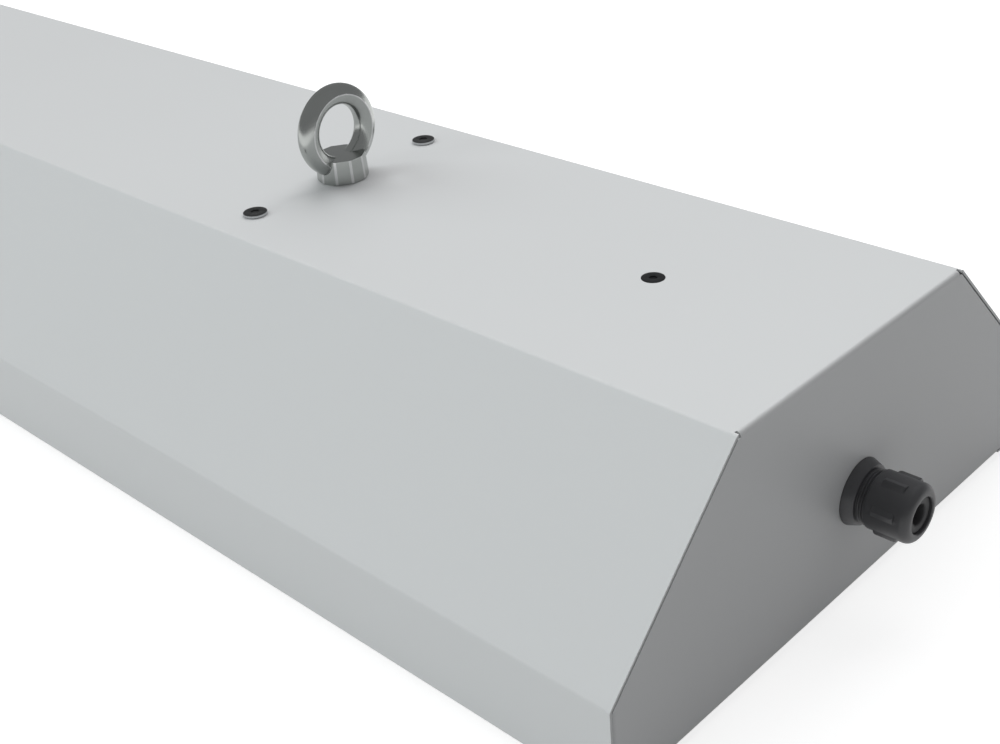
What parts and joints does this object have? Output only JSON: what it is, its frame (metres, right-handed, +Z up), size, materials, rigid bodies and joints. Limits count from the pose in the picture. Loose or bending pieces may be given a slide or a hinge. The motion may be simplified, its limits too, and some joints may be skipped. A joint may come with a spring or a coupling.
{
  "type": "linear led light fixture",
  "caption": "Linear light fixture: folded sheet-steel housing with sloped sides, opal diffuser below, suspension eyes on top and a cable gland in one end plate.",
  "frame": {"origin": "middle of the housing's length and width, in the plane of the cover frame's lower face, on which it rests", "axes": "+X along the housing towards the end plate with the cable gland, +Y across it, +Z up towards the suspension eyes"},
  "size_m": [1.2218, 0.232, 0.13],
  "materials": {
    "white_paint": "light grey powder coat, smooth and matt",
    "forged_steel": "satin forged steel",
    "zinc_steel": "bright zinc plated steel",
    "screw_steel": "polished plated steel, dark where it mirrors the ceiling",
    "reflector_sheet": "white coated aluminium sheet",
    "board_aluminium": "white solder mask on aluminium",
    "phosphor": "yellow phosphor packages",
    "white_plastic": "moulded nylon",
    "diffuser_acrylic": "opal acrylic",
    "foam_strip": "closed cell foam",
    "frame_aluminium": "light grey powder coated aluminium",
    "driver_case": "plain metal case",
    "gland_plastic": "black nylon, slightly satin",
    "gland_rubber": "black elastomer"
  },
  "bodies": {
    "root": {"housing": "white_paint", "suspension_eyes": "forged_steel", "cross_bracket_left": "zinc_steel", "cross_bracket_right": "zinc_steel", "eye_washers": "zinc_steel", "eye_nuts": "zinc_steel", "bracket_screws": "screw_steel", "bracket_nuts": "zinc_steel", "tray_hanger_left": "zinc_steel", "tray_hanger_right": "zinc_steel", "end_screws": "screw_steel", "end_nuts": "zinc_steel", "gear_tray": "reflector_sheet", "reflector_end_left": "reflector_sheet", "reflector_end_right": "reflector_sheet", "led_board_1": "board_aluminium", "led_board_2": "board_aluminium", "led_board_3": "board_aluminium", "led_board_4": "board_aluminium", "led_packages": "phosphor", "board_connectors": "white_plastic", "diffuser": "diffuser_acrylic", "diffuser_foam": "foam_strip", "cover_frame": "frame_aluminium", "frame_screws": "screw_steel", "led_driver_left": "driver_case", "led_driver_right": "driver_case", "terminal_block": "white_plastic", "earth_washer": "zinc_steel", "earth_screw": "zinc_steel", "gland_body": "gland_plastic", "gland_cap": "gland_plastic", "gland_seal": "gland_rubber", "gland_locknut": "gland_plastic"}
  },
  "joints": []
}
